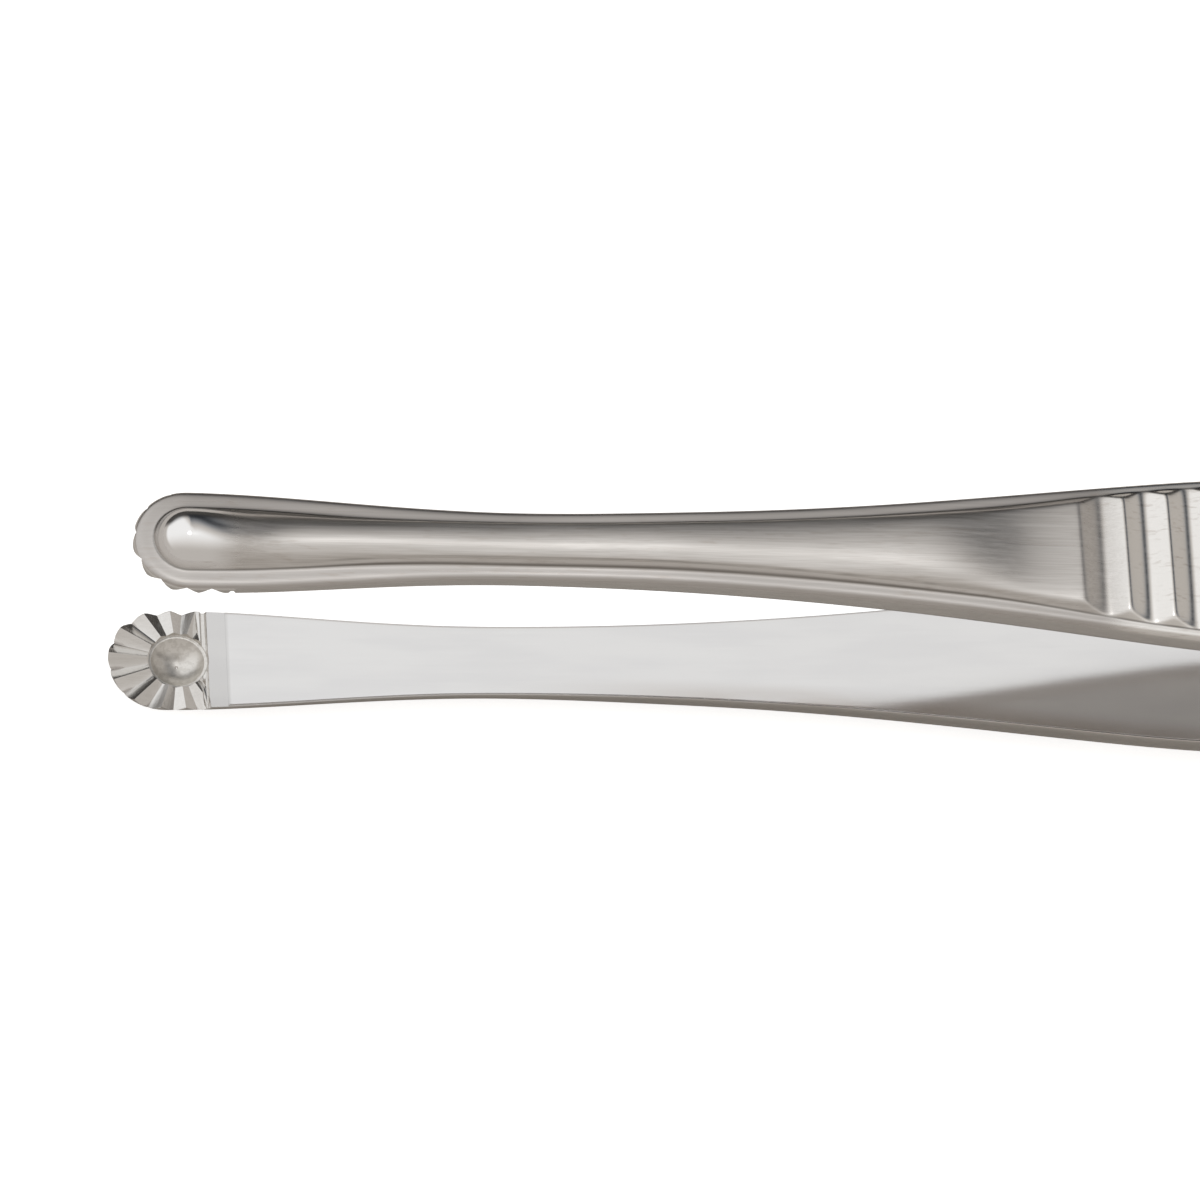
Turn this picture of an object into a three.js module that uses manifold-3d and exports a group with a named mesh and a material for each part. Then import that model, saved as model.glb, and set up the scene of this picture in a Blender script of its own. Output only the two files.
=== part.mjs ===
// Tissue forceps of the Russian pattern, in stainless steel, lying on one arm.
// Two identical spring arms are brazed together at the heel and open towards round cupped jaws.
// Millimetres. +X runs from the jaws to the heel, +Y across the arms, +Z is the way the jaws open.
// Every distance "from the tip" is measured along the arm, so X = distance - LENGTH / 2.
// The second arm is the first turned half round the long axis, so their teeth interlock.
import * as THREE from 'three';
import { mergeVertices } from 'three/addons/utils/BufferGeometryUtils.js';
import Module from 'manifold-3d';

// Overall
const LENGTH = 200;
const TIP_OPENING = 20.8; // between the two inner faces at the tips
const ARM_GAP = 0.3; // left between pieces that the real object has joined

// Outline of one arm, seen from above
const HEAD_RADIUS = 4.7;
const NECK_FROM_TIP = 33;
const NECK_WIDTH = 6.6;
const GRIP_FROM_TIP = 97; // the grip's flat sides begin here
const GRIP_SIDE_LENGTH = 20;
const GRIP_WIDTH = 16.4;
const HEEL_WIDTH = 10;
const HEEL_CORNER = 2.5;

// Bow of one arm, seen from the side: height of the inner face over the middle plane
const GRIP_RISE = 7.5; // at the middle of the grip
const BRAZE_LENGTH = 11; // the stretch at the heel where the arms lie together
const BRAZE_THICKNESS = 0.6;

// Thickness of the plain edge, along the arm
const HEAD_EDGE = 0.95;
const NECK_EDGE = 1.2;
const GRIP_EDGE = 2.1;
const SPRING_EDGE = 1.5;

// Raised rib and finger pad on the outer face
const HEAD_MARGIN = 1.75; // plain edge left round the rib at the head
const RIB_NECK_WIDTH = 3.8;
const RIB_HEIGHT = 1.15; // above the plain edge at the head and neck
const PAD_HEIGHT = 0.9; // above the plain edge at the grip
const PAD_MARGIN = 1; // plain edge left on each side of the pad
const PAD_RAMP = 8; // the pad falls to the spring over this length

// Finger flutes across the pad
const FLUTE_FROM_TIP = 81;
const FLUTE_COUNT = 10;
const FLUTE_PITCH = 3.8;
const FLUTE_DEPTH = 0.65;

// Jaw: dome outside, cup and radial teeth inside
const DOME_RADIUS = 2.5;
const DOME_HEIGHT = 1;
const CUP_FROM_TIP = 6;
const CUP_RADIUS = 2.55;
const CUP_DEPTH = 1.6;
const TOOTH_DIVISIONS = 14;
const TOOTH_FAN = THREE.MathUtils.degToRad(112); // each way from the tip
const TOOTH_DEPTH = 0.55; // at the edge of the head
const TOOTH_LAND = 0.12; // share of the pitch left flat on each crest

// The arms flex near the heel; each turns as if hinged here
const FLEX_FROM_HEEL = 30;

const COLOURS = { outer: 0xaaa39c, inner: 0xc6c5c2, braze: 0x9d968e };

// Derived places
const MIDDLE = LENGTH / 2;
const RIB_TOP = HEAD_EDGE + RIB_HEIGHT;
const RIB_END_RADIUS = HEAD_RADIUS - HEAD_MARGIN;
const BRAZED_FACE = BRAZE_THICKNESS / 2 + ARM_GAP;
const FLUTES_END = FLUTE_FROM_TIP + FLUTE_COUNT * FLUTE_PITCH;
const PAD_LEVEL_END = FLUTES_END - FLUTE_PITCH;
const FLEX_FROM_TIP = LENGTH - FLEX_FROM_HEEL;
const GRIP_END = GRIP_FROM_TIP + GRIP_SIDE_LENGTH;
const REACH = LENGTH + TIP_OPENING; // longer than anything it cuts

const wasm = await Module();
wasm.setup();

// A closed three.js geometry as a solid that can be joined and cut.
function solid(geometry, matrix = new THREE.Matrix4()) {
  const bare = geometry.clone().applyMatrix4(matrix);
  bare.deleteAttribute('normal');
  bare.deleteAttribute('uv');
  const merged = mergeVertices(bare, 1e-4);
  const vertProperties = new Float32Array(merged.attributes.position.array);
  const triVerts = new Uint32Array(merged.index.array);
  return new wasm.Manifold(new wasm.Mesh({ numProp: 3, vertProperties, triVerts }));
}

function meshOf(shape, name, colour, roughness) {
  const { vertProperties, triVerts } = shape.getMesh();
  const geometry = new THREE.BufferGeometry();
  geometry.setAttribute('position', new THREE.BufferAttribute(vertProperties, 3));
  geometry.setIndex(new THREE.BufferAttribute(triVerts, 1));
  geometry.computeVertexNormals();
  const material = new THREE.MeshStandardMaterial({ color: colour, roughness, metalness: 1 });
  const mesh = new THREE.Mesh(geometry, material);
  mesh.name = name;
  return mesh;
}

// A value that passes smoothly from stop to stop along the arm; stops are [distance, value].
function along(stops, distance) {
  const next = stops.findIndex(([at]) => at > distance);
  if (next === 0) return stops[0][1];
  if (next < 0) return stops[stops.length - 1][1];
  const [fromAt, fromValue] = stops[next - 1];
  const [toAt, toValue] = stops[next];
  return THREE.MathUtils.lerp(fromValue, toValue, THREE.MathUtils.smoothstep(distance, fromAt, toAt));
}

// The bow: a nearly straight front, then a curve down to the brazed heel.
function bowPoints() {
  const gripMiddle = (GRIP_FROM_TIP + GRIP_END) / 2;
  const brazeStart = LENGTH - BRAZE_LENGTH;
  const tipRise = TIP_OPENING / 2;
  const spring = brazeStart - gripMiddle;
  const bow = new THREE.Path();
  bow.moveTo(0, tipRise);
  bow.bezierCurveTo(
    gripMiddle * 0.36, tipRise - 0.5,
    gripMiddle * 0.7, GRIP_RISE + 1.35,
    gripMiddle, GRIP_RISE,
  );
  bow.bezierCurveTo(
    gripMiddle + spring * 0.36, GRIP_RISE - 1.5,
    gripMiddle + spring * 0.7, BRAZED_FACE + 0.5,
    brazeStart, BRAZED_FACE,
  );
  bow.lineTo(LENGTH, BRAZED_FACE);
  return bow.getPoints(15);
}

const BOW = bowPoints();

function bowAt(distance) {
  const next = Math.max(1, BOW.findIndex((point) => point.x >= distance));
  const [before, after] = [BOW[next - 1], BOW[next]];
  return THREE.MathUtils.mapLinear(distance, before.x, after.x, before.y, after.y);
}

// From the middle plane to the top of the dome: half the height of the open forceps.
const HALF_HEIGHT = bowAt(HEAD_RADIUS) + RIB_TOP + DOME_HEIGHT;

const edgeThickness = (distance) => along([
  [HEAD_RADIUS * 2, HEAD_EDGE],
  [NECK_FROM_TIP - 6, NECK_EDGE],
  [NECK_FROM_TIP + 17, GRIP_EDGE - 0.25],
  [FLUTE_FROM_TIP, GRIP_EDGE],
  [FLUTES_END, GRIP_EDGE],
  [FLUTES_END + FLEX_FROM_HEEL, SPRING_EDGE],
], distance);

const bowedThickness = (distance) => edgeThickness(distance) + along([
  [NECK_FROM_TIP, RIB_HEIGHT],
  [FLUTE_FROM_TIP - 14, RIB_HEIGHT - 0.1],
  [FLUTE_FROM_TIP, PAD_HEIGHT],
  [FLUTES_END, PAD_HEIGHT],
  [FLUTES_END + PAD_RAMP, -SPRING_EDGE / 2],
], distance);

// The pad is milled level under the flutes, so the forceps lie steady on the crests.
function raisedThickness(distance) {
  const share = (distance - FLUTE_FROM_TIP) / (PAD_LEVEL_END - FLUTE_FROM_TIP);
  if (share < 0 || share > 1) return bowedThickness(distance);
  const [front, rear] = [FLUTE_FROM_TIP, PAD_LEVEL_END].map((end) => bowAt(end) + bowedThickness(end));
  return front + (rear - front) * share - bowAt(distance);
}

// The arm's side view between two heights over its inner face, as wide as the whole arm.
function sideLayer(bottomOffset, thickness) {
  const inner = BOW.map((point) => new THREE.Vector2(point.x, point.y + bottomOffset));
  const outer = BOW.map((point) => new THREE.Vector2(point.x, point.y + thickness(point.x)));
  const shape = new THREE.Shape([...inner, ...outer.reverse()]);
  const depth = GRIP_WIDTH * 2;
  const geometry = new THREE.ExtrudeGeometry(shape, { depth, bevelEnabled: false });
  geometry.translate(0, 0, -depth / 2);
  return solid(geometry, new THREE.Matrix4().makeRotationX(Math.PI / 2));
}

// A half outline (distance, half width) mirrored across the long axis and raised through the arm.
function planPrism(half) {
  const mirrored = half.filter((point) => point.y > 0).map((point) => new THREE.Vector2(point.x, -point.y));
  const shape = new THREE.Shape([...half, ...mirrored.reverse()]);
  const geometry = new THREE.ExtrudeGeometry(shape, { depth: REACH, bevelEnabled: false });
  geometry.translate(0, 0, -REACH / 2);
  return solid(geometry);
}

function armOutline() {
  const [neck, grip, heel] = [NECK_WIDTH / 2, GRIP_WIDTH / 2, HEEL_WIDTH / 2];
  const flare = GRIP_FROM_TIP - NECK_FROM_TIP;
  const taper = LENGTH - GRIP_END;
  const half = new THREE.Path();
  half.absarc(HEAD_RADIUS, 0, HEAD_RADIUS, Math.PI, Math.PI / 2, true);
  half.bezierCurveTo(
    HEAD_RADIUS * 3, HEAD_RADIUS,
    NECK_FROM_TIP * 0.66, neck,
    NECK_FROM_TIP, neck,
  );
  half.bezierCurveTo(
    NECK_FROM_TIP + flare * 0.5, neck,
    NECK_FROM_TIP + flare * 0.8, grip - 0.5,
    GRIP_FROM_TIP, grip,
  );
  half.lineTo(GRIP_END, grip);
  half.bezierCurveTo(
    GRIP_END + taper * 0.3, grip,
    GRIP_END + taper * 0.6, heel,
    LENGTH - HEEL_CORNER, heel,
  );
  half.absarc(LENGTH - HEEL_CORNER, heel - HEEL_CORNER, HEEL_CORNER, Math.PI / 2, 0, true);
  return half.getPoints(9);
}

function raisedOutline() {
  const [neck, pad] = [RIB_NECK_WIDTH / 2, GRIP_WIDTH / 2 - PAD_MARGIN];
  const flare = GRIP_FROM_TIP - NECK_FROM_TIP;
  const half = new THREE.Path();
  half.absarc(HEAD_RADIUS, 0, RIB_END_RADIUS, Math.PI, Math.PI / 2, true);
  half.bezierCurveTo(
    HEAD_RADIUS * 3, RIB_END_RADIUS,
    NECK_FROM_TIP * 0.66, neck,
    NECK_FROM_TIP, neck,
  );
  half.bezierCurveTo(
    NECK_FROM_TIP + flare * 0.5, neck,
    NECK_FROM_TIP + flare * 0.8, pad - 0.5,
    GRIP_FROM_TIP, pad,
  );
  half.lineTo(GRIP_END, pad);
  half.lineTo(FLUTES_END + PAD_RAMP, pad - PAD_MARGIN);
  return half.getPoints(9);
}

// A ball that meets a flat face in a circle of the given radius and stands or sinks by the height.
function ball(radius, height) {
  const sphereRadius = (radius * radius + height * height) / (2 * height);
  return new THREE.SphereGeometry(sphereRadius, 20, 12);
}

function dome() {
  const geometry = ball(DOME_RADIUS, DOME_HEIGHT);
  const sphereRadius = geometry.parameters.radius;
  geometry.rotateX(Math.PI / 2);
  geometry.translate(HEAD_RADIUS, 0, HALF_HEIGHT - sphereRadius);
  const above = new THREE.BoxGeometry(LENGTH, LENGTH, TIP_OPENING);
  above.translate(0, 0, bowAt(HEAD_RADIUS) + HEAD_EDGE / 2 + TIP_OPENING / 2);
  return solid(geometry).intersect(solid(above));
}

function cup() {
  const geometry = ball(CUP_RADIUS, CUP_DEPTH);
  const sphereRadius = geometry.parameters.radius;
  geometry.rotateX(Math.PI / 2);
  geometry.translate(CUP_FROM_TIP, 0, bowAt(CUP_FROM_TIP) + CUP_DEPTH - sphereRadius);
  return solid(geometry);
}

// One tooth space: a diamond-section spike that widens and deepens away from the cup's centre.
function toothSpace(angle) {
  const reach = HEAD_RADIUS * 2;
  const halfWidth = reach * Math.tan(Math.PI / TOOTH_DIVISIONS) * (1 - TOOTH_LAND);
  const depth = TOOTH_DEPTH * reach / CUP_FROM_TIP;
  const spike = new THREE.ConeGeometry(1, reach, 4);
  spike.translate(0, -reach / 2, 0);
  spike.scale(halfWidth, 1, depth);
  spike.rotateZ(-Math.PI / 2 - angle);
  spike.translate(CUP_FROM_TIP, 0, bowAt(CUP_FROM_TIP));
  return solid(spike);
}

// The spaces sit a quarter pitch off the tip, so that the turned arm's teeth fall between them.
function toothAngles() {
  const pitch = 2 * Math.PI / TOOTH_DIVISIONS;
  const angles = [];
  for (let step = -TOOTH_DIVISIONS; step <= TOOTH_DIVISIONS; step += 1) {
    const angle = (step - 0.25) * pitch;
    if (Math.abs(angle) < TOOTH_FAN) angles.push(angle);
  }
  return angles;
}

// A finger flute: a round bar laid across the pad, cut FLUTE_DEPTH into it.
function flute(index) {
  const halfChord = FLUTE_PITCH / 2;
  const radius = (halfChord * halfChord + FLUTE_DEPTH * FLUTE_DEPTH) / (2 * FLUTE_DEPTH);
  const centre = FLUTE_FROM_TIP + (index + 0.5) * FLUTE_PITCH;
  const bar = new THREE.CylinderGeometry(radius, radius, GRIP_WIDTH * 2, 24);
  bar.translate(centre, 0, bowAt(centre) + raisedThickness(centre) - FLUTE_DEPTH + radius);
  return solid(bar);
}

function armBlank() {
  const plate = sideLayer(0, edgeThickness).intersect(planPrism(armOutline()));
  const raised = sideLayer(NECK_EDGE / 2, raisedThickness).intersect(planPrism(raisedOutline()));
  return plate.add(raised).add(dome());
}

function arm() {
  let shape = armBlank().subtract(cup());
  for (const angle of toothAngles()) shape = shape.subtract(toothSpace(angle));
  for (let index = 0; index < FLUTE_COUNT; index += 1) shape = shape.subtract(flute(index));
  return shape;
}

// What of a shape lies between two distances from the tip.
function stretch(shape, from, to) {
  const slab = new THREE.BoxGeometry(to - from, REACH, REACH);
  slab.translate((from + to) / 2, 0, 0);
  return shape.intersect(solid(slab));
}

// The seam of braze metal between the two heels, a little inside their outline.
function brazeSeam() {
  const shape = new THREE.Shape();
  const half = HEEL_WIDTH / 2 - ARM_GAP;
  const end = LENGTH - ARM_GAP;
  shape.moveTo(LENGTH - BRAZE_LENGTH, -half);
  shape.lineTo(end - HEEL_CORNER, -half);
  shape.absarc(end - HEEL_CORNER, HEEL_CORNER - half, HEEL_CORNER, -Math.PI / 2, 0, false);
  shape.absarc(end - HEEL_CORNER, half - HEEL_CORNER, HEEL_CORNER, 0, Math.PI / 2, false);
  shape.lineTo(LENGTH - BRAZE_LENGTH, half);
  const settings = { depth: BRAZE_THICKNESS, bevelEnabled: false, curveSegments: 6 };
  return solid(new THREE.ExtrudeGeometry(shape, settings).translate(0, 0, -BRAZE_THICKNESS / 2));
}

// One arm as its two rigid stretches: the arm in front of the flexure and the spring tail behind it.
function armGroup(side) {
  const shape = arm();
  const group = new THREE.Group();
  const front = stretch(shape, -REACH, FLEX_FROM_TIP - ARM_GAP / 2);
  const tail = stretch(shape, FLEX_FROM_TIP + ARM_GAP / 2, REACH);
  group.add(meshOf(front, `${side}_arm`, COLOURS.outer, 0.28));
  group.add(meshOf(tail, `${side}_spring_tail`, COLOURS.inner, 0.3));
  group.position.x = -MIDDLE;
  return group;
}

const forceps = new THREE.Group();
const upper = armGroup('upper');
const lower = armGroup('lower');
lower.rotation.x = Math.PI;
const seam = meshOf(brazeSeam(), 'heel_braze', COLOURS.braze, 0.4);
seam.position.x = -MIDDLE;
forceps.add(upper, lower, seam);
forceps.position.z = HALF_HEIGHT;

const group = new THREE.Group();
group.add(forceps);
export default group;
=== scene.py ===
# Russian-pattern tissue forceps in stainless steel, lying on one arm with the jaws open.
import math
from bisect import bisect_left

import bmesh
import bpy
from mathutils import Matrix, Vector
from mathutils.geometry import interpolate_bezier


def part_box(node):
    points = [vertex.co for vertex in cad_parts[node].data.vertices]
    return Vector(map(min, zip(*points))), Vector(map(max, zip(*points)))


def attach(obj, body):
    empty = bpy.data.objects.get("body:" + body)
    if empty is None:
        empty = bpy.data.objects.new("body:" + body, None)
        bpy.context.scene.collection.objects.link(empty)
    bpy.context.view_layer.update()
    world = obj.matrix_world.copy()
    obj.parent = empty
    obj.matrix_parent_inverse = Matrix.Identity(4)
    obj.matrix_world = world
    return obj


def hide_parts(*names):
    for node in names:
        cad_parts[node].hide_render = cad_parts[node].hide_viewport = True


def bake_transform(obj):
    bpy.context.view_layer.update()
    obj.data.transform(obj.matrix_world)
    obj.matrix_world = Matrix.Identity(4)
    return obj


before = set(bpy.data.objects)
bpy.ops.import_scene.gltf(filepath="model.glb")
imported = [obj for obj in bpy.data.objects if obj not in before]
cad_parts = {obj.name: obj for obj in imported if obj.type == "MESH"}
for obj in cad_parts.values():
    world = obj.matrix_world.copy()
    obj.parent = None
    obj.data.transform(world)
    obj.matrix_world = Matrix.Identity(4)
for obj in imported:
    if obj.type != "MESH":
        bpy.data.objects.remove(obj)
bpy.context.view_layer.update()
MM = 0.001

# ---------------------------------------------------------------------------------------------
# The forged arm blank. One spring arm is a single stainless forging: a round head, a slim neck,
# a wide finger grip and a thin spring. Its inner face is flat across, and its outer face carries
# a raised, crowned rib that ends in a dome behind the jaw and widens into the fluted finger pad.
# ---------------------------------------------------------------------------------------------
ARM_LOW, ARM_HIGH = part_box("upper_arm")
TIP_X = ARM_LOW.x
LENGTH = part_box("upper_spring_tail")[1].x - TIP_X
MIDDLE_Z = (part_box("lower_arm")[0].z + ARM_HIGH.z) / 2

HEAD_RADIUS = 4.7 * MM
HEAD_SPOKES = 48
NECK_AT = 33 * MM
NECK_HALF = 3.3 * MM
GRIP_FROM = 97 * MM
GRIP_TO = 117 * MM
GRIP_HALF = ARM_HIGH.y
HEEL_HALF = 5 * MM
HEEL_CORNER = 2.5 * MM
BRAZE_FROM = LENGTH - 11 * MM
BRAZE_FACE = 0.6 * MM
TIP_RISE = 10.4 * MM
GRIP_RISE = 7.5 * MM
CORNER = 0.32 * MM
DISC = 1 * MM
FLUTE_FROM = 81 * MM
FLUTES = 10
FLUTE_PITCH = 3.8 * MM
FLUTE_DEPTH = 0.66 * MM
FLUTE_TO = FLUTE_FROM + FLUTES * FLUTE_PITCH
LEVEL_TO = FLUTE_TO - FLUTE_PITCH
ROWS_PER_FLUTE = 4
CREST_CREASE = 0.3
RIB_CREASE = 0.28
FACE_CREASE = 0.3
RIB_LINE_TO = 124 * MM
SHARP_TURN = 1.2  # radians


def smooth_bezier(corners, count=60):
    """The points of a curve through cubic pieces that share their ends; corners are (along, across)."""
    points = []
    for start in range(0, len(corners) - 1, 3):
        four = [Vector((along, across, 0)) for along, across in corners[start:start + 4]]
        points += interpolate_bezier(*four, count)
    return points


def follow(points, along):
    """The height of a curve of points at a distance along it."""
    index = min(max(bisect_left(points, along, key=lambda point: point.x), 1), len(points) - 1)
    before, after = points[index - 1], points[index]
    share = (along - before.x) / max(after.x - before.x, 1e-9)
    return before.y + (after.y - before.y) * min(max(share, 0), 1)


def ease(stops, along):
    """A value that passes smoothly from stop to stop; stops are (distance in mm, value in mm)."""
    along = along / MM
    if along <= stops[0][0]:
        return stops[0][1] * MM
    for (start, low), (end, high) in zip(stops, stops[1:]):
        if along <= end:
            share = (along - start) / (end - start)
            return (low + (high - low) * share * share * (3 - 2 * share)) * MM
    return stops[-1][1] * MM


grip_middle = (GRIP_FROM + GRIP_TO) / 2
spring_run = BRAZE_FROM - grip_middle
BOW = smooth_bezier([
    (0, TIP_RISE),
    (grip_middle * 0.36, TIP_RISE - 0.5 * MM),
    (grip_middle * 0.7, GRIP_RISE + 1.35 * MM),
    (grip_middle, GRIP_RISE),
    (grip_middle + spring_run * 0.36, GRIP_RISE - 1.5 * MM),
    (grip_middle + spring_run * 0.7, BRAZE_FACE + 0.5 * MM),
    (BRAZE_FROM, BRAZE_FACE),
])
flare = GRIP_FROM - NECK_AT
taper = LENGTH - GRIP_TO
SIDE = smooth_bezier([
    (HEAD_RADIUS, HEAD_RADIUS),
    (HEAD_RADIUS * 3, HEAD_RADIUS),
    (NECK_AT * 0.66, NECK_HALF),
    (NECK_AT, NECK_HALF),
    (NECK_AT + flare * 0.5, NECK_HALF),
    (NECK_AT + flare * 0.8, GRIP_HALF - 0.5 * MM),
    (GRIP_FROM, GRIP_HALF),
    (GRIP_FROM, GRIP_HALF),
    (GRIP_TO, GRIP_HALF),
    (GRIP_TO, GRIP_HALF),
    (GRIP_TO + taper * 0.3, GRIP_HALF),
    (GRIP_TO + taper * 0.6, HEEL_HALF),
    (LENGTH - HEEL_CORNER, HEEL_HALF),
])


def half_width(along):
    if along > LENGTH - HEEL_CORNER:
        into = along - (LENGTH - HEEL_CORNER)
        return HEEL_HALF - HEEL_CORNER + math.sqrt(max(HEEL_CORNER ** 2 - into ** 2, 0))
    return follow(SIDE, along)


def edge_height(along):
    return ease([(9, 0.95), (31, 1.2), (50, 1.7), (81, 2.1), (122, 2.1), (152, 1.5)], along)


def foot_half(along):
    """Half the width of the rib at its foot."""
    margin = ease([(4.7, 1.75), (17, 1.75), (33, 1.35), (60, 1.4), (72, 1.4), (88, 0.95)], along)
    return half_width(along) - margin


def flute_drop(along):
    """How far a flute has cut below the pad at this distance."""
    if not FLUTE_FROM < along < FLUTE_TO:
        return 0
    phase = (along - FLUTE_FROM) / FLUTE_PITCH % 1
    return FLUTE_DEPTH * (1 - abs(2 * phase - 1) ** 1.3)


def level(along):
    """How far the pad, milled level under the flutes, lies from the arm's bow."""
    share = (along - FLUTE_FROM) / (LEVEL_TO - FLUTE_FROM)
    if not 0 < share < 1:
        return 0
    return follow(BOW, FLUTE_FROM) * (1 - share) + follow(BOW, LEVEL_TO) * share - follow(BOW, along)


def section(along):
    """Half of the outer face at one distance, from the edge to the middle: (across, height)."""
    edge, foot = edge_height(along), foot_half(along)
    slope = ease([(27, 0.06), (50, 0.05), (122, 0.05), (132, 0.02)], along)
    wall = ease([
        (5, 0.2), (12, 0.5), (28, 0.8), (52, 0.8), (67, 0.68),
        (78, 0.5), (83, 0.62), (120, 0.62), (130, 0.02)], along)
    wall_run = ease([(5, 0.1), (12, 0.5), (24, 0.3), (60, 0.27), (68, 0.3), (80, 0.6)], along)
    crown = ease([
        (5, 1.85), (13, 0.62), (30, 0.32), (54, 0.38),
        (69.5, 0.68), (77, 0.16), (122, 0.16), (132, 0.1)], along)
    roundness = ease([(5, 0.5), (16, 1), (56, 1), (70, 0.6)], along) / MM
    shoulder = edge + slope + wall + level(along)
    drop = flute_drop(along)
    side = half_width(along)
    corner = min(CORNER, side * 0.2)
    points = [
        (side, edge - CORNER),
        (side - corner, edge),
        ((side - corner + foot) / 2, edge + slope / 2),
        (foot, edge + slope),
    ]
    top = foot - wall_run
    cut = min(drop, wall)
    points.append((top + wall_run * 0.8 * cut / max(wall, 0.1 * MM), shoulder - cut))
    for share in (0.82, 0.55, 0.27, 0):
        points.append((top * share, shoulder + crown * (1 - share * share) ** roundness - drop))
    return points


def stations():
    """The distances of the cross-sections behind the head."""
    jaw_and_neck = [5.7, 6.8, 8, 9.5, 11.5, 14, 17, 20, 23.5, 27, 30.5, 34, 38, 42, 46.5]
    shoulder = [51, 55.5, 60, 63.5, 66.5, 69.2, 71.6, 73.8, 75.8, 77.6, 79.2, 80.4]
    places = [at * MM for at in jaw_and_neck + shoulder]
    rows = FLUTES * ROWS_PER_FLUTE
    places += [FLUTE_FROM + row * FLUTE_PITCH / ROWS_PER_FLUTE for row in range(rows + 1)]
    spring = [119.8, 121.6, 123.8, 126.2, 128.8, 132.5, 137, 142, 148, 154, 160, 166, 172, 178]
    heel = [183, 187, 190.5, 194, 196.5]
    places += [at * MM for at in spring + heel]
    return places + [LENGTH - HEEL_CORNER * (1 - math.sin(step * math.pi / 8)) for step in range(5)]


def only(piece):
    """Selects one object and nothing else."""
    bpy.ops.object.select_all(action="DESELECT")
    piece.select_set(True)
    bpy.context.view_layer.objects.active = piece


def pick(piece, test):
    """In edit mode, selects the vertices whose place passes a test, and nothing else."""
    edit = bmesh.from_edit_mesh(piece.data)
    for face in edit.faces:
        face.select_set(False)
    for edge in edit.edges:
        edge.select_set(False)
    for vertex in edit.verts:
        vertex.select_set(test(vertex.co))
    edit.select_flush_mode()
    bmesh.update_edit_mesh(piece.data, loop_triangles=False, destructive=False)


def pick_edges(piece, test):
    """In edit mode, selects the edges that pass a test, and nothing else."""
    pick(piece, lambda co: False)
    edit = bmesh.from_edit_mesh(piece.data)
    for edge in edit.edges:
        if test(edge):
            edge.select_set(True)
    bmesh.update_edit_mesh(piece.data, loop_triangles=False, destructive=False)


def near(value, target, reach=0.004 * MM):
    return abs(value - target) < reach


def on_rib_line(edge):
    """True on the two lines that bound the rib's wall, round the head and on to the end of the pad."""
    def on_line(co, line):
        out = math.hypot(min(co.x - HEAD_RADIUS, 0), co.y)
        line_out = section(max(co.x, HEAD_RADIUS))[line][0]
        raised = co.z > follow(BOW, co.x) + 0.5 * MM
        return raised and co.x < RIB_LINE_TO and near(out, line_out, 0.02 * MM)

    return any(all(on_line(vertex.co, line) for vertex in edge.verts) for line in (3, 4))


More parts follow.
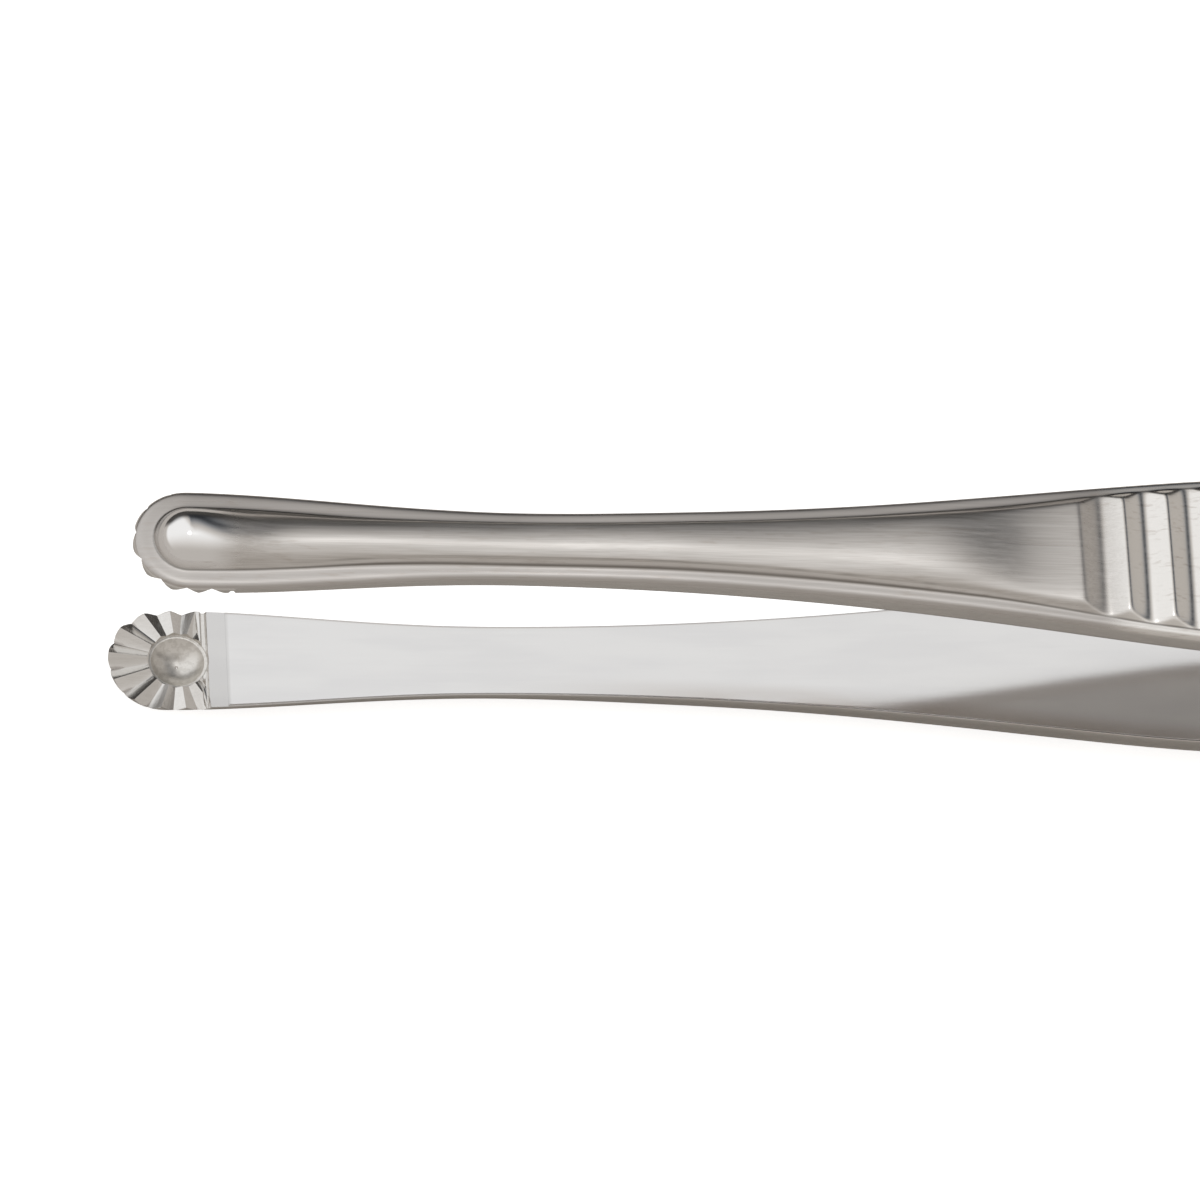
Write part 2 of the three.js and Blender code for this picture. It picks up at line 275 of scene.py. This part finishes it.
def forge_blank():
    """Models one arm with its inner face down, bowed, its tip at the origin and its heel along +X."""
    head = section(HEAD_RADIUS)
    bpy.ops.object.select_all(action="DESELECT")
    bpy.ops.mesh.primitive_circle_add(
        vertices=HEAD_SPOKES, radius=head[0][0], fill_type="NGON", location=(HEAD_RADIUS, 0, DISC))
    blank = bpy.context.object
    bpy.ops.object.transform_apply(location=True)
    bpy.ops.object.mode_set(mode="EDIT")
    bpy.ops.mesh.select_mode(type="VERT")
    bpy.ops.mesh.select_all(action="SELECT")
    bpy.ops.mesh.select_mode(type="FACE")
    for (outer, _), (inner, _) in zip(head, head[1:-1]):
        bpy.ops.mesh.inset(thickness=(outer - inner) * math.cos(math.pi / HEAD_SPOKES), depth=0)
    bpy.ops.mesh.poke()
    bpy.ops.mesh.select_mode(type="VERT")

    # Half the disc goes; the other half becomes a puck whose flat back is the first section.
    pick(blank, lambda co: co.x > HEAD_RADIUS + 0.01 * MM)
    bpy.ops.mesh.delete(type="VERT")
    bpy.ops.mesh.select_all(action="SELECT")
    bpy.ops.mesh.extrude_region_move(TRANSFORM_OT_translate={"value": (0, 0, -DISC)})
    bpy.ops.mesh.select_all(action="SELECT")
    bpy.ops.mesh.normals_make_consistent(inside=False)

    # The dome and the edge of the head: each ring of the top goes to its height.
    for across, height in head:
        pick(blank, lambda co: co.z > DISC / 2 and near(math.hypot(co.x - HEAD_RADIUS, co.y), across))
        bpy.ops.transform.translate(value=(0, 0, height - DISC))
    bow = follow(BOW, HEAD_RADIUS)
    pick(blank, lambda co: True)
    bpy.ops.transform.translate(value=(0, 0, bow))

    # The bar is drawn out section by section.
    before, at = head, HEAD_RADIUS
    for along in stations():
        now, lift = section(along), follow(BOW, along) - bow
        pick(blank, lambda co: near(co.x, at))
        bpy.ops.mesh.extrude_region_move(TRANSFORM_OT_translate={"value": (along - at, 0, lift)})
        bow, at = bow + lift, along
        for (was_across, was_height), (across, height) in zip(before, now):
            inner, outer = bow, bow + was_height
            if was_across > 0:
                pick(blank, lambda co: near(co.x, at) and near(abs(co.y), was_across))
                bpy.ops.transform.resize(value=(1, across / was_across, 1), center_override=(at, 0, inner))
            pick(blank, lambda co: near(co.x, at) and near(abs(co.y), across) and near(co.z, outer))
            bpy.ops.transform.translate(value=(0, 0, height - was_height))
        before = now

    # The inner face keeps a crisp outline, the flutes crisp crests, and the rib a crisp wall.
    pick_edges(blank, lambda edge: abs(edge.calc_face_angle(0)) > SHARP_TURN
               and all(near(vertex.co.z, follow(BOW, vertex.co.x)) for vertex in edge.verts))
    bpy.ops.transform.edge_crease(value=FACE_CREASE)
    crests = [FLUTE_FROM + number * FLUTE_PITCH for number in range(FLUTES + 1)]
    pick_edges(blank, lambda edge: all(
        any(near(vertex.co.x, crest) for crest in crests)
        and vertex.co.z > follow(BOW, vertex.co.x) + edge_height(vertex.co.x) + 0.5 * MM
        for vertex in edge.verts))
    bpy.ops.transform.edge_crease(value=CREST_CREASE)
    pick_edges(blank, on_rib_line)
    bpy.ops.transform.edge_crease(value=RIB_CREASE)
    bpy.ops.object.mode_set(mode="OBJECT")
    return blank


def apply_modifier(piece, kind, **settings):
    """Adds one modifier, sets it, and applies it."""
    only(piece)
    bpy.ops.object.modifier_add(type=kind)
    modifier = piece.modifiers[-1]
    for name, value in settings.items():
        setattr(modifier, name, value)
    bpy.ops.object.modifier_apply(modifier=modifier.name)


blank = forge_blank()
apply_modifier(blank, "SUBSURF", levels=2, render_levels=2)

# ---------------------------------------------------------------------------------------------
# The jaw. The inner face of the head is ground a little low, a narrow bar is cut across behind
# it, a fan of grooves is cut around the tip for grip, and a round cup is sunk in the middle.
# ---------------------------------------------------------------------------------------------
CUP_AT = 6 * MM
CUP_RADIUS = 2.6 * MM
CUP_DEPTH = 1.55 * MM
RELIEF_TO = 10.35 * MM
RELIEF = 0.09 * MM
BAR_AT = 8.28 * MM
BAR_WIDTH = 0.62 * MM
BAR_DEPTH = 0.34 * MM
GROOVES_AROUND = 14
GROOVE_DEPTH = 0.6 * MM
GROOVE_SHARE = {0: 1, 1: 0.74, 2: 0.36, 3: 0, 4: 0.36, 5: 0.74}
TOOTH_LAND = 0.03 * MM
QUARTER_PITCH = 0.25 * 360 / GROOVES_AROUND
FACE_TILT = math.atan((follow(BOW, 0) - follow(BOW, RELIEF_TO)) / RELIEF_TO)
CUTTER_WIDTH = 14 * MM


def seat_cutter(cutter, along, turn=0):
    """Sets a cutter on the ground face of the jaw, square to it, and makes its place its own."""
    only(cutter)
    cutter.location = (along, 0, follow(BOW, along))
    cutter.rotation_euler = (0, FACE_TILT, turn)
    bpy.ops.object.transform_apply(location=True, rotation=True)


def cut(piece, cutter):
    apply_modifier(piece, "BOOLEAN", operation="DIFFERENCE", solver="MANIFOLD", object=cutter)
    only(cutter)
    bpy.ops.object.delete()


def relief_cutter():
    bpy.ops.object.select_all(action="DESELECT")
    bpy.ops.mesh.primitive_cube_add(
        size=1, scale=(CUTTER_WIDTH, CUTTER_WIDTH, 1 * MM), location=(-CUTTER_WIDTH / 2, 0, -0.5 * MM))
    cutter = bpy.context.object
    bpy.ops.object.transform_apply(location=True, scale=True)
    bpy.ops.object.mode_set(mode="EDIT")
    pick(cutter, lambda co: co.z > -0.1 * MM)
    bpy.ops.transform.translate(value=(0, 0, RELIEF))
    pick(cutter, lambda co: co.x > -0.1 * MM and co.z > 0)
    bpy.ops.transform.translate(value=(-0.2 * MM, 0, 0))
    bpy.ops.object.mode_set(mode="OBJECT")
    seat_cutter(cutter, RELIEF_TO)
    return cutter


def bar_cutter():
    bpy.ops.object.select_all(action="DESELECT")
    bpy.ops.mesh.primitive_cube_add(
        size=1, scale=(BAR_WIDTH, CUTTER_WIDTH, 1 * MM), location=(0, 0, -0.4 * MM))
    cutter = bpy.context.object
    bpy.ops.object.transform_apply(location=True, scale=True)
    bpy.ops.object.mode_set(mode="EDIT")
    pick(cutter, lambda co: co.z > 0)
    rise = BAR_DEPTH + RELIEF - 0.1 * MM
    bpy.ops.mesh.extrude_region_move(TRANSFORM_OT_translate={"value": (0, 0, rise)})
    bpy.ops.transform.resize(value=(0.45, 1, 1), center_override=(0, 0, 0))
    bpy.ops.object.mode_set(mode="OBJECT")
    seat_cutter(cutter, BAR_AT)
    return cutter


def groove_stamp():
    """A disc whose top carries the fan of ridges that sinks the grooves."""
    spokes = GROOVES_AROUND * len(GROOVE_SHARE)
    base = -1.2 * MM
    rings = [6.6 * MM, 5 * MM, 3.6 * MM, 2.2 * MM]
    bpy.ops.object.select_all(action="DESELECT")
    bpy.ops.mesh.primitive_circle_add(vertices=spokes, radius=rings[0], fill_type="NGON", location=(0, 0, 0))
    stamp = bpy.context.object
    bpy.ops.object.mode_set(mode="EDIT")
    bpy.ops.mesh.select_all(action="SELECT")
    bpy.ops.mesh.select_mode(type="FACE")
    for outer, inner in zip(rings, rings[1:]):
        bpy.ops.mesh.inset(thickness=(outer - inner) * math.cos(math.pi / spokes), depth=0)
    bpy.ops.mesh.select_all(action="SELECT")
    bpy.ops.mesh.extrude_region_move(TRANSFORM_OT_translate={"value": (0, 0, base)})
    bpy.ops.mesh.select_all(action="SELECT")
    bpy.ops.mesh.normals_make_consistent(inside=False)
    bpy.ops.mesh.select_mode(type="VERT")
    for ring in rings:
        outward = min((ring - rings[-1]) / (HEAD_RADIUS - rings[-1]), 1.2)
        depth = GROOVE_DEPTH * (0.4 + 0.6 * outward)
        for step, share in GROOVE_SHARE.items():
            def on_step(co):
                turn = math.degrees(math.atan2(co.y, -co.x)) / 360 * spokes
                return round(turn) % len(GROOVE_SHARE) == step

            pick(stamp, lambda co: co.z > base / 2 and near(math.hypot(co.x, co.y), ring) and on_step(co))
            bpy.ops.transform.translate(value=(0, 0, RELIEF + TOOTH_LAND + depth * share))
    bpy.ops.mesh.select_all(action="SELECT")
    fan_end = BAR_AT - CUP_AT - BAR_WIDTH * 0.3
    bpy.ops.mesh.bisect(plane_co=(fan_end, 0, 0), plane_no=(1, 0, 0), use_fill=True, clear_outer=True)
    bpy.ops.object.mode_set(mode="OBJECT")
    seat_cutter(stamp, CUP_AT, turn=-math.radians(QUARTER_PITCH))
    return stamp


def cup_cutter():
    """A turned plug: a chamfered rim, a small ledge, a bowl, and a centre mark at its bottom."""
    ledge, ledge_depth = CUP_RADIUS - 0.3 * MM, 0.5 * MM
    rise = CUP_DEPTH - ledge_depth
    ball = (ledge ** 2 + rise ** 2) / (2 * rise)
    reach = math.asin(ledge / ball)
    profile = [
        (CUP_RADIUS + 0.1 * MM, -0.05 * MM),
        (CUP_RADIUS, 0.06 * MM),
        (CUP_RADIUS - 0.04 * MM, ledge_depth - 0.06 * MM),
        (CUP_RADIUS - 0.1 * MM, ledge_depth - 0.02 * MM),
        (ledge, ledge_depth),
    ]
    for step in range(1, 10):
        angle = reach * (1 - step / 10)
        profile.append((ball * math.sin(angle), CUP_DEPTH - ball * (1 - math.cos(angle))))
    centre_mark = [(0.15 * MM, 0), (0.11 * MM, 0.1 * MM), (0.03 * MM, 0.15 * MM)]
    profile += [(radius, CUP_DEPTH + deeper) for radius, deeper in centre_mark]
    radius, depth = profile[0][0], -0.6 * MM
    bpy.ops.object.select_all(action="DESELECT")
    bpy.ops.mesh.primitive_circle_add(vertices=72, radius=radius, fill_type="NGON", location=(0, 0, 0))
    cutter = bpy.context.object
    bpy.ops.object.mode_set(mode="EDIT")
    bpy.ops.mesh.select_all(action="SELECT")
    bpy.ops.transform.translate(value=(0, 0, depth))
    for now_radius, now_depth in profile:
        bpy.ops.mesh.extrude_region_move(TRANSFORM_OT_translate={"value": (0, 0, now_depth - depth)})
        size = now_radius / radius
        bpy.ops.transform.resize(value=(size, size, 1), center_override=(0, 0, now_depth))
        radius, depth = now_radius, now_depth
    bpy.ops.mesh.select_all(action="SELECT")
    bpy.ops.mesh.normals_make_consistent(inside=False)
    bpy.ops.transform.translate(value=(0, 0, RELIEF))
    bpy.ops.object.mode_set(mode="OBJECT")
    seat_cutter(cutter, CUP_AT)
    return cutter


for cutter in (relief_cutter(), bar_cutter(), groove_stamp(), cup_cutter()):
    cut(blank, cutter)


def measure(piece):
    """Marks every point with its distance from the tip, its offset and its depth, in millimetres."""
    places, rims, feet = [], [], []
    for vertex in piece.data.vertices:
        along, across, height = vertex.co
        places += [along / MM, across / MM, (height - follow(BOW, along)) / MM]
        if along < HEAD_RADIUS:
            out = math.hypot(along - HEAD_RADIUS, across)
            rims.append((HEAD_RADIUS - out) / MM)
            feet.append((out - foot_half(HEAD_RADIUS)) / MM)
        else:
            rims.append((half_width(along) - abs(across)) / MM)
            feet.append((abs(across) - foot_half(along)) / MM)
    piece.data.attributes.new("on_arm", "FLOAT_VECTOR", "POINT").data.foreach_set("vector", places)
    piece.data.attributes.new("rim", "FLOAT", "POINT").data.foreach_set("value", rims)
    piece.data.attributes.new("foot", "FLOAT", "POINT").data.foreach_set("value", feet)


class Wire:
    """One output of a shader node; sums of wires and numbers add their Math nodes."""

    def __init__(self, tree, socket=None):
        self.tree = tree
        self.socket = socket

    def node(self, kind, settings, sockets, output=0):
        """Adds a node: its settings first, then the values or the wires of its sockets."""
        made = self.tree.nodes.new(kind)
        for name, value in settings.items():
            setattr(made, name, value)
        for name, value in sockets.items():
            if isinstance(value, Wire):
                self.tree.links.new(value.socket, made.inputs[name])
            else:
                made.inputs[name].default_value = value
        return Wire(self.tree, made.outputs[output] if made.outputs else None)

    def other(self, output):
        return Wire(self.tree, self.socket.node.outputs[output])

    def math(self, operation, *values):
        return self.node("ShaderNodeMath", {"operation": operation}, dict(enumerate(values)))

    def __add__(self, value):
        return self.math("ADD", self, value)

    def __radd__(self, value):
        return self.math("ADD", value, self)

    def __sub__(self, value):
        return self.math("SUBTRACT", self, value)

    def __rsub__(self, value):
        return self.math("SUBTRACT", value, self)

    def __mul__(self, value):
        return self.math("MULTIPLY", self, value)

    def __rmul__(self, value):
        return self.math("MULTIPLY", value, self)

    def __abs__(self):
        return self.math("ABSOLUTE", self)

    def rise(self, low, high):
        """0 below one value, 1 above the other, smooth between."""
        return self.node("ShaderNodeMapRange", {"interpolation_type": "SMOOTHSTEP"},
                         {"Value": self, "From Min": low, "From Max": high})

    def fall(self, low, high):
        return 1 - self.rise(low, high)

    def around(self, middle, reach):
        """1 at one value, 0 beyond its reach on either side."""
        return abs(self - middle).fall(0, reach)

    def noise(self, scale, detail=2):
        """A pattern on this place, scaled by its own amount each way; the output is 0 to 1."""
        place = self.node("ShaderNodeMapping", {}, {"Vector": self, "Scale": scale})
        return self.node("ShaderNodeTexNoise", {}, {"Vector": place, "Scale": 1, "Detail": detail})

    def tint(self, first, second):
        """The first colour where this wire is 0, the second where it is 1."""
        return self.node("ShaderNodeMix", {"data_type": "RGBA"}, {0: self, 6: first, 7: second}, output=2)


def new_material(name):
    material = bpy.data.materials.new(name)
    material.use_nodes = True
    material.node_tree.nodes.clear()
    return material, Wire(material.node_tree)


def polished_steel():
    material, start = new_material("polished_steel")
    place = start.node("ShaderNodeAttribute", {"attribute_name": "on_arm"}, {}, output=1)
    along = start.node("ShaderNodeSeparateXYZ", {}, {"Vector": place})
    across, height = along.other(1), along.other(2)
    rim = start.node("ShaderNodeAttribute", {"attribute_name": "rim"}, {}, output=2)
    foot = start.node("ShaderNodeAttribute", {"attribute_name": "foot"}, {}, output=2)

    # Where on the arm a point lies; all distances are in millimetres.
    inner = height.fall(0.09, 0.16)
    cup_reach = (along - CUP_AT / MM) * (along - CUP_AT / MM) + across * across
    in_cup = cup_reach.fall(6.3, 6.9) * height.fall(1.66, 1.8)
    in_jaw = along.fall(8.5, 8.6) * height.fall(0.66, 0.74) * rim.rise(0.02, 0.1) * (1 - in_cup)
    side = rim.fall(0.03, 0.12) * (1 - inner)
    outer = (1 - inner) * (1 - side) * (1 - in_cup) * (1 - in_jaw)
    dome = outer * along.fall(6.0, 9.5) * rim.rise(1.6, 2.1)
    fluted = outer * along.rise(82, 86) * along.fall(121, 123)
    flange = outer * foot.rise(0.06, 0.2) * along.fall(120, 130)
    rib_wall = outer * foot.rise(-0.26, -0.2) * foot.fall(-0.1, -0.04)
    rib_wall = rib_wall * along.rise(14, 24) * along.fall(68, 78)
    ground = inner * along.fall(10.2, 10.5)

    # Polishing lines run lengthways; the cup and the grooves keep small marks of the cutter.
    lines = place.noise((0.045, 3.2, 3.2), detail=4)
    hairs = place.noise((0.12, 11, 11))
    cloud = place.noise((0.07, 0.35, 0.35), detail=3)
    pits = place.noise((2.6, 2.6, 2.6), detail=3)
    cuts = place.noise((7, 1.1, 1.1))

    # Handling has left a warm film in broken streaks. A dark line along the foot of the rib and the top of
    # its wall is painted crease shade, with some soil in it.
    specks = place.noise((0.5, 3.5, 3.5), detail=5)
    film = specks.rise(0.52, 0.74) * cloud.rise(0.42, 0.62) * outer
    foot_line = foot.around(0.02, 0.16) * outer * along.fall(118, 124)
    top_line = (foot + 0.32).around(0, 0.12) * outer * along.rise(10, 20) * along.fall(66, 74)
    crease_shade_and_soil = foot_line * (0.55 + cloud * 0.5) + top_line * lines.rise(0.4, 0.6) * 0.45
    # Painted reflection of the other arm: a brown patch on the inner face, near its edge and towards the
    # grip.
    brown_patch = inner * rim.fall(0.1, 2.3) * across.rise(0.5, 2.5) * along.rise(30, 66)
    brown_patch = brown_patch * (0.4 + cloud.rise(0.3, 0.6) * 0.6)

    streaks = (hairs * 0.5 + lines * 0.5).rise(0.35, 0.65)
    satin_steel = streaks.tint((0.575, 0.55, 0.522, 1), (0.68, 0.655, 0.628, 1))
    # Painted highlight: the inner faces get a lighter, cooler steel, with some uneven tone of its own.
    inner_steel_with_painted_sheen = cloud.rise(0.35, 0.65).tint((0.765, 0.765, 0.77, 1), (0.8, 0.8, 0.8, 1))
    # Painted shade: the flanges beside the rib are a darker steel.
    metal = (flange * 0.6).tint(satin_steel, (0.47, 0.445, 0.425, 1))
    # Painted reflection: the rib's wall is a lighter steel, standing for the brighter room it faces.
    metal = (rib_wall * 0.8).tint(metal, (0.78, 0.76, 0.74, 1))
    # Painted highlight: the inner faces take the lighter steel.
    metal = (inner * 0.92).tint(metal, inner_steel_with_painted_sheen)
    metal = (fluted * 0.85).tint(metal, (0.86, 0.84, 0.81, 1))
    metal = (ground * 0.35).tint(metal, (0.58, 0.575, 0.57, 1))
    # Painted reflection of the other arm on the inner face.
    metal = (brown_patch * 0.75).tint(metal, (0.47, 0.42, 0.38, 1))
    metal = (film * 0.35).tint(metal, (0.42, 0.36, 0.31, 1))
    # Painted crease shade with some soil: the dark line along the rib's foot and the top of its wall.
    metal = crease_shade_and_soil.tint(metal, (0.2, 0.185, 0.17, 1))
    # Painted shade: the steel of the side edges is darkened, to keep them from looking as bright as the
    # table they reflect.
    metal = (side * 0.5).tint(metal, (0.45, 0.44, 0.42, 1))
    # Painted highlight: the dome behind the jaw is a near-white steel.
    metal = dome.tint(metal, (0.86, 0.85, 0.84, 1))
    # Painted highlight: the grooved jaw is a lighter steel.
    metal = (in_jaw * 0.6).tint(metal, (0.84, 0.83, 0.81, 1))
    metal = (in_cup * 0.75).tint(metal, (0.84, 0.82, 0.78, 1))
    metal = (in_cup * pits.rise(0.45, 0.6) * 0.4).tint(metal, (0.55, 0.53, 0.49, 1))

    satin = 0.23 + lines * outer * 0.14 - inner * 0.12 - dome * 0.2 - fluted * 0.12
    satin = satin - in_jaw * 0.08 + in_cup * 0.1 + ground * 0.08
    grain = (lines * 0.7 + hairs * 0.12) * (1 - fluted * 0.97)
    relief = grain * outer * (1 - dome) + grain * inner * 0.12 + pits * in_cup * 0.7 + cuts * in_jaw * 0.8
    bump = start.node("ShaderNodeBump", {}, {"Strength": 0.5, "Distance": 0.012 * MM, "Height": relief})
    surface = start.node("ShaderNodeBsdfPrincipled", {}, {
        "Base Color": metal, "Metallic": 1, "Roughness": satin, "Normal": bump})
    start.node("ShaderNodeOutputMaterial", {}, {"Surface": surface})
    return material


STEEL = polished_steel()


def finish_arm(arm, name):
    arm.name = name
    arm.data.name = name
    arm.data.materials.clear()
    arm.data.materials.append(STEEL)
    only(arm)
    bpy.ops.object.shade_smooth_by_angle(angle=math.radians(33))


measure(blank)
upper_arm = blank
only(upper_arm)
bpy.ops.object.mode_set(mode="EDIT")
bpy.ops.mesh.select_all(action="SELECT")
bpy.ops.transform.translate(value=(TIP_X, 0, MIDDLE_Z))
bpy.ops.object.mode_set(mode="OBJECT")
finish_arm(upper_arm, "upper_forged_arm")

bpy.ops.object.duplicate()
lower_arm = bpy.context.object
bpy.ops.object.mode_set(mode="EDIT")
bpy.ops.mesh.select_all(action="SELECT")
bpy.ops.transform.rotate(value=math.pi, orient_axis="X", center_override=(0, 0, MIDDLE_Z))
bpy.ops.object.mode_set(mode="OBJECT")
finish_arm(lower_arm, "lower_forged_arm")

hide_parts("upper_arm", "upper_spring_tail")
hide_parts("lower_arm", "lower_spring_tail")
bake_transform(upper_arm)
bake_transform(lower_arm)

# ---------------------------------------------------------------------------------------------
# The brazed heel. A thin layer of hard silver solder fills the gap between the ends of the two
# arms. It follows their rounded outline, and draws back to a hollow front where it set.
# ---------------------------------------------------------------------------------------------
BRAZE_INSET = 0.12 * MM
BRAZE_FRONT_CORNER = 0.9 * MM
HOLLOW = {0: 0.22 * MM, 0.333: 0.16 * MM, 0.667: 0.03 * MM}


def braze_layer():
    """Between the heels: their outline, a little inside it, with a waisted edge all round."""
    front = TIP_X + BRAZE_FROM
    back = TIP_X + LENGTH
    half = HEEL_HALF - BRAZE_INSET
    bpy.ops.object.select_all(action="DESELECT")
    bpy.ops.mesh.primitive_cube_add(
        size=1, scale=(back - front - BRAZE_INSET, half * 2, BRAZE_FACE * 2),
        location=((front + back - BRAZE_INSET) / 2, 0, MIDDLE_Z))
    layer = bpy.context.object
    bpy.ops.object.transform_apply(location=True, scale=True)
    bpy.ops.object.mode_set(mode="EDIT")
    bpy.ops.mesh.select_mode(type="VERT")
    pick_edges(layer, lambda edge: all(vertex.co.x > back - 1 * MM for vertex in edge.verts)
               and near(edge.verts[0].co.y, edge.verts[1].co.y))
    bpy.ops.mesh.bevel(offset=HEEL_CORNER - BRAZE_INSET, segments=10)
    pick_edges(layer, lambda edge: all(vertex.co.x < front + 0.1 * MM for vertex in edge.verts)
               and near(edge.verts[0].co.y, edge.verts[1].co.y))
    bpy.ops.mesh.bevel(offset=BRAZE_FRONT_CORNER, segments=6)
    pick_edges(layer, lambda edge: abs(edge.verts[0].co.z - edge.verts[1].co.z) > 0.5 * MM)
    bpy.ops.mesh.subdivide(number_cuts=5)
    middle = (back + front) / 2
    for share, drawn in HOLLOW.items():
        pick(layer, lambda co: near(abs(co.z - MIDDLE_Z), BRAZE_FACE * share, 0.05 * MM))
        bpy.ops.transform.resize(
            value=(1 - drawn / (back - middle), 1 - drawn / half, 1), center_override=(middle, 0, MIDDLE_Z))
    bpy.ops.object.mode_set(mode="OBJECT")
    return layer


def silver_solder():
    material, start = new_material("silver_solder")
    place = start.node("ShaderNodeTexCoord", {}, {}, output=3)
    flow = place.noise((400, 900, 2500), detail=3)
    brown_patch = place.noise((180, 180, 600), detail=2).rise(0.45, 0.7)
    metal = brown_patch.tint((0.72, 0.68, 0.6, 1), (0.5, 0.44, 0.36, 1))
    bump = start.node("ShaderNodeBump", {}, {"Strength": 0.6, "Distance": 0.03 * MM, "Height": flow})
    surface = start.node("ShaderNodeBsdfPrincipled", {}, {
        "Base Color": metal, "Metallic": 1, "Roughness": 0.32 + flow * 0.15, "Normal": bump})
    start.node("ShaderNodeOutputMaterial", {}, {"Surface": surface})
    return material


braze = braze_layer()
braze.name = "heel_braze_layer"
braze.data.name = "heel_braze_layer"
braze.data.materials.append(silver_solder())
only(braze)
bpy.ops.object.shade_smooth_by_angle(angle=math.radians(40))
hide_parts("heel_braze")
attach(braze, "heel")

# ---------------------------------------------------------------------------------------------
# The studio: a plain white table, a soft bright panel high on the west side, a dark screen east of
# it, even room light around them, a small lamp overhead, and a long lens that looks down on the jaws.
# ---------------------------------------------------------------------------------------------
bpy.ops.object.select_all(action="DESELECT")
bpy.ops.mesh.primitive_plane_add(size=6, location=(0, 0, 0))
table = bpy.context.object
table.name = "table"
white, start = new_material("white_table")
seen = start.node("ShaderNodeLightPath", {}, {})
bare = start.node("ShaderNodeBsdfPrincipled", {}, {
    "Base Color": (0.74, 0.71, 0.68, 1), "Roughness": 0.9})
lit = start.node("ShaderNodeBsdfPrincipled", {}, {
    "Base Color": (0.9, 0.9, 0.9, 1), "Roughness": 0.9,
    "Emission Color": (1, 1, 1, 1), "Emission Strength": 0.75})
cloth = start.node("ShaderNodeMixShader", {}, {0: seen, 1: bare, 2: lit})
start.node("ShaderNodeOutputMaterial", {}, {"Surface": cloth})
table.data.materials.append(white)

world = bpy.data.worlds.new("studio")
bpy.context.scene.world = world
world.use_nodes = True
world.node_tree.nodes.clear()
sky = Wire(world.node_tree)
toward = sky.node("ShaderNodeTexCoord", {}, {}, output=0)
east = sky.node("ShaderNodeSeparateXYZ", {}, {"Vector": toward})
north, up = east.other(1), east.other(2)
high_behind = north.rise(0.05, 0.4)
across_room = east + 0.6 * (north - 0.47)
panel = across_room.fall(0.04, 0.27) * up.rise(0.25, 0.45) * north.rise(-0.7, 0.3)
screen = across_room.around(0.42, 0.2) * high_behind * up.rise(0.2, 0.5)
low_behind = north.rise(0.55, 0.8) * up.fall(0.35, 0.62)
light = (0.54 + panel * 0.44 - screen * 0.5) * (1 - low_behind * 0.88)
tone = screen.tint(panel.tint((1, 0.945, 0.89, 1), (1, 1, 1, 1)), (0.86, 0.95, 1.08, 1))
room = sky.node("ShaderNodeBackground", {}, {"Color": tone, "Strength": light})
sky.node("ShaderNodeOutputWorld", {}, {"Surface": room})

AZIMUTH = math.radians(-15.8)
ELEVATION = math.radians(61)
ROLL = math.radians(14.7)
CAMERA_RANGE = 1.4
CAMERA_LENS = 493.4
LAMP_AT = Vector((0.02, 0.34, 1.5))
aim = Vector((TIP_X + 41.1 * MM, 0.75 * MM, MIDDLE_Z))

lamp = bpy.data.lights.new("small_lamp", "AREA")
lamp.shape = "SQUARE"
lamp.size = 0.16
lamp.energy = 0.35
small_lamp = bpy.data.objects.new("small_lamp", lamp)
bpy.context.collection.objects.link(small_lamp)
small_lamp.location = LAMP_AT
small_lamp.rotation_euler = (LAMP_AT - aim).to_track_quat("Z", "Y").to_euler()

camera = bpy.data.objects.new("camera", bpy.data.cameras.new("camera"))
bpy.context.collection.objects.link(camera)
camera.data.sensor_width = 36
camera.data.lens = CAMERA_LENS
camera.data.clip_start = 0.05
camera.data.clip_end = 20
toward_camera = Vector((
    math.sin(AZIMUTH) * math.cos(ELEVATION), -math.cos(AZIMUTH) * math.cos(ELEVATION), math.sin(ELEVATION)))
turned = Matrix.Rotation(AZIMUTH, 4, "Z") @ Matrix.Rotation(math.pi / 2 - ELEVATION, 4, "X")
camera.matrix_world = (
    Matrix.Translation(aim + toward_camera * CAMERA_RANGE) @ turned @ Matrix.Rotation(ROLL, 4, "Z"))
bpy.context.scene.camera = camera
bpy.context.scene.view_settings.view_transform = "Standard"
